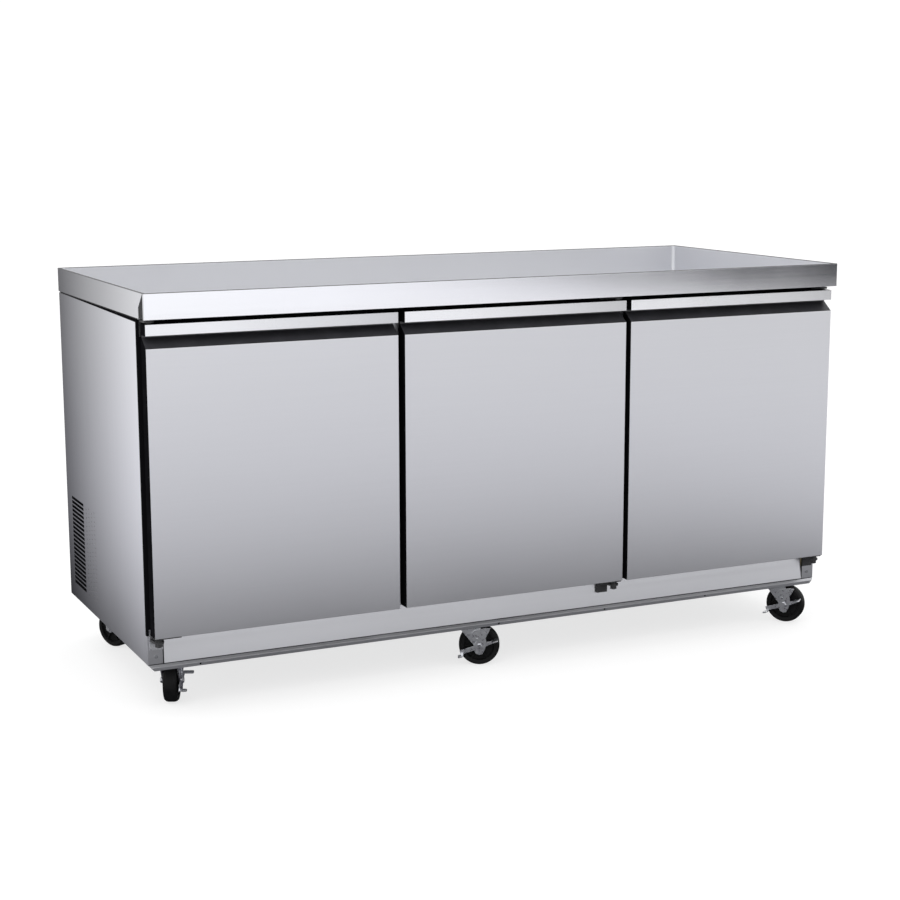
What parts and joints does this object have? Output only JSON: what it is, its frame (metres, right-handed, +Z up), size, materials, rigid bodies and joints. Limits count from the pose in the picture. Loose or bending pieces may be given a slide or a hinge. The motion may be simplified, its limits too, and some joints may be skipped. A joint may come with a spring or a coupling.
{
  "type": "reach-in undercounter refrigerator",
  "caption": "Undercounter reach-in refrigerator with raised-rim worktop tray, solid swing doors, side louvers and swivel casters.",
  "frame": {"origin": "on the floor under the middle of the body", "axes": "+X along the row of doors to the viewer's right, -Y to the doors, +Z up"},
  "size_m": [1.846, 0.78, 0.97],
  "materials": {
    "stainless_top": "satin",
    "stainless_panel": "satin",
    "stainless_bright": "polished",
    "galvanised": "matte",
    "liner_metal": "satin",
    "black_metal": "satin",
    "black_plastic": "matte",
    "gasket": "matte",
    "foam": "matte",
    "zinc": "satin",
    "wire_coating": "gloss",
    "tyre": "matte",
    "copper": "satin",
    "fin_aluminium": "satin",
    "fan_plastic": "matte"
  },
  "bodies": {
    "cabinet": {"worktop": "stainless_top", "worktop_corner_seals": "black_plastic", "side_panel_left": "stainless_panel", "side_panel_right": "stainless_panel", "rear_panel": "galvanised", "chassis": "galvanised", "base_rail": "stainless_bright", "face_frame": "stainless_panel", "kick_plate": "stainless_bright", "breaker_frame": "black_plastic", "liner": "liner_metal", "insulation": "foam", "hinge_brackets": "black_metal", "fasteners": "zinc", "shelf_supports": "zinc", "wire_shelves": "wire_coating", "evaporator_cover": "liner_metal", "evaporator_coil": "fin_aluminium", "fan_motors": "black_metal", "compressor": "black_metal", "condenser_coil": "fin_aluminium", "refrigerant_lines": "copper", "condensate_pan": "galvanised", "electrical_fittings": "black_plastic"},
    "evaporator_fan_left": {"evaporator_fan_left": "fan_plastic"},
    "evaporator_fan_right": {"evaporator_fan_right": "fan_plastic"},
    "condenser_fan": {"condenser_fan": "fan_plastic"},
    "door_left": {"door_shell_left": "stainless_panel", "door_handle_left": "stainless_bright", "door_foam_left": "foam", "door_liner_left": "stainless_panel", "door_gasket_left": "gasket", "door_hinge_fittings_left": "black_plastic"},
    "door_centre": {"door_shell_centre": "stainless_panel", "door_handle_centre": "stainless_bright", "door_foam_centre": "foam", "door_liner_centre": "stainless_panel", "door_gasket_centre": "gasket", "door_hinge_fittings_centre": "black_plastic"},
    "door_right": {"door_shell_right": "stainless_panel", "door_handle_right": "stainless_bright", "door_foam_right": "foam", "door_liner_right": "stainless_panel", "door_gasket_right": "gasket", "door_hinge_fittings_right": "black_plastic"},
    "caster_front_left": {"caster_fork_front_left": "zinc"},
    "wheel_front_left": {"caster_wheel_front_left": "tyre"},
    "brake_front_left": {"brake_lever_front_left": "zinc"},
    "caster_front_centre": {"caster_fork_front_centre": "zinc"},
    "wheel_front_centre": {"caster_wheel_front_centre": "tyre"},
    "brake_front_centre": {"brake_lever_front_centre": "zinc"},
    "caster_front_right": {"caster_fork_front_right": "zinc"},
    "wheel_front_right": {"caster_wheel_front_right": "tyre"},
    "brake_front_right": {"brake_lever_front_right": "zinc"},
    "caster_rear_left": {"caster_fork_rear_left": "zinc"},
    "wheel_rear_left": {"caster_wheel_rear_left": "tyre"},
    "caster_rear_centre": {"caster_fork_rear_centre": "zinc"},
    "wheel_rear_centre": {"caster_wheel_rear_centre": "tyre"},
    "caster_rear_right": {"caster_fork_rear_right": "zinc"},
    "wheel_rear_right": {"caster_wheel_rear_right": "tyre"}
  },
  "joints": [
    {"name": "door_left_hinge", "type": "hinge", "parent": "cabinet", "child": "door_left", "pos_m": [-0.903, -0.3575, 0.5], "axis": [0, 0, -1], "range_deg": [0, 105], "stiffness_Nm_per_rad": 1.5, "springref_deg": -11.46},
    {"name": "door_centre_hinge", "type": "hinge", "parent": "cabinet", "child": "door_centre", "pos_m": [0.2839, -0.3575, 0.5], "axis": [0, 0, 1], "range_deg": [0, 105], "stiffness_Nm_per_rad": 1.5, "springref_deg": -11.46},
    {"name": "door_right_hinge", "type": "hinge", "parent": "cabinet", "child": "door_right", "pos_m": [0.903, -0.3575, 0.5], "axis": [0, 0, 1], "range_deg": [0, 105], "stiffness_Nm_per_rad": 1.5, "springref_deg": -11.46},
    {"name": "caster_front_left_swivel", "type": "hinge", "parent": "cabinet", "child": "caster_front_left", "pos_m": [-0.858, -0.281, 0.115], "axis": [0, 0, 1], "continuous": true},
    {"name": "wheel_front_left_roll", "type": "hinge", "parent": "caster_front_left", "child": "wheel_front_left", "pos_m": [-0.84376, -0.24903, 0.0508], "axis": [-0.9135, 0.4067, 0], "continuous": true},
    {"name": "brake_front_left_lever", "type": "hinge", "parent": "caster_front_left", "child": "brake_front_left", "pos_m": [-0.84376, -0.24903, 0.0508], "axis": [-0.9135, 0.4067, 0], "range_deg": [-16, 0]},
    {"name": "caster_front_centre_swivel", "type": "hinge", "parent": "cabinet", "child": "caster_front_centre", "pos_m": [-0.097, -0.281, 0.115], "axis": [0, 0, 1], "continuous": true},
    {"name": "wheel_front_centre_roll", "type": "hinge", "parent": "caster_front_centre", "child": "wheel_front_centre", "pos_m": [-0.06554, -0.29634, 0.0508], "axis": [0.4384, 0.8988, 0], "continuous": true},
    {"name": "brake_front_centre_lever", "type": "hinge", "parent": "caster_front_centre", "child": "brake_front_centre", "pos_m": [-0.06554, -0.29634, 0.0508], "axis": [0.4384, 0.8988, 0], "range_deg": [0, 16]},
    {"name": "caster_front_right_swivel", "type": "hinge", "parent": "cabinet", "child": "caster_front_right", "pos_m": [0.832, -0.281, 0.115], "axis": [0, 0, 1], "continuous": true},
    {"name": "wheel_front_right_roll", "type": "hinge", "parent": "caster_front_right", "child": "wheel_front_right", "pos_m": [0.8545, -0.30781, 0.0508], "axis": [0.766, 0.6428, 0], "continuous": true},
    {"name": "brake_front_right_lever", "type": "hinge", "parent": "caster_front_right", "child": "brake_front_right", "pos_m": [0.8545, -0.30781, 0.0508], "axis": [0.766, 0.6428, 0], "range_deg": [0, 16]},
    {"name": "caster_rear_left_swivel", "type": "hinge", "parent": "cabinet", "child": "caster_rear_left", "pos_m": [-0.858, 0.285, 0.115], "axis": [0, 0, 1], "continuous": true},
    {"name": "wheel_rear_left_roll", "type": "hinge", "parent": "caster_rear_left", "child": "wheel_rear_left", "pos_m": [-0.84157, 0.2541, 0.0508], "axis": [0.8829, 0.4695, 0], "continuous": true},
    {"name": "caster_rear_centre_swivel", "type": "hinge", "parent": "cabinet", "child": "caster_rear_centre", "pos_m": [-0.097, 0.285, 0.115], "axis": [0, 0, 1], "continuous": true},
    {"name": "wheel_rear_centre_roll", "type": "hinge", "parent": "caster_rear_centre", "child": "wheel_rear_centre", "pos_m": [-0.06319, 0.29406, 0.0508], "axis": [-0.2588, 0.9659, 0], "continuous": true},
    {"name": "caster_rear_right_swivel", "type": "hinge", "parent": "cabinet", "child": "caster_rear_right", "pos_m": [0.832, 0.285, 0.115], "axis": [0, 0, 1], "continuous": true},
    {"name": "wheel_rear_right_roll", "type": "hinge", "parent": "caster_rear_right", "child": "wheel_rear_right", "pos_m": [0.85881, 0.3075, 0.0508], "axis": [-0.6428, 0.766, 0], "continuous": true},
    {"name": "evaporator_fan_left_spin", "type": "hinge", "parent": "cabinet", "child": "evaporator_fan_left", "pos_m": [-0.16, 0.244, 0.742], "axis": [0, 1, 0], "continuous": true},
    {"name": "evaporator_fan_right_spin", "type": "hinge", "parent": "cabinet", "child": "evaporator_fan_right", "pos_m": [0.16, 0.244, 0.742], "axis": [0, 1, 0], "continuous": true},
    {"name": "condenser_fan_spin", "type": "hinge", "parent": "cabinet", "child": "condenser_fan", "pos_m": [-0.831, 0.276, 0.262], "axis": [1, 0, 0], "continuous": true}
  ]
}
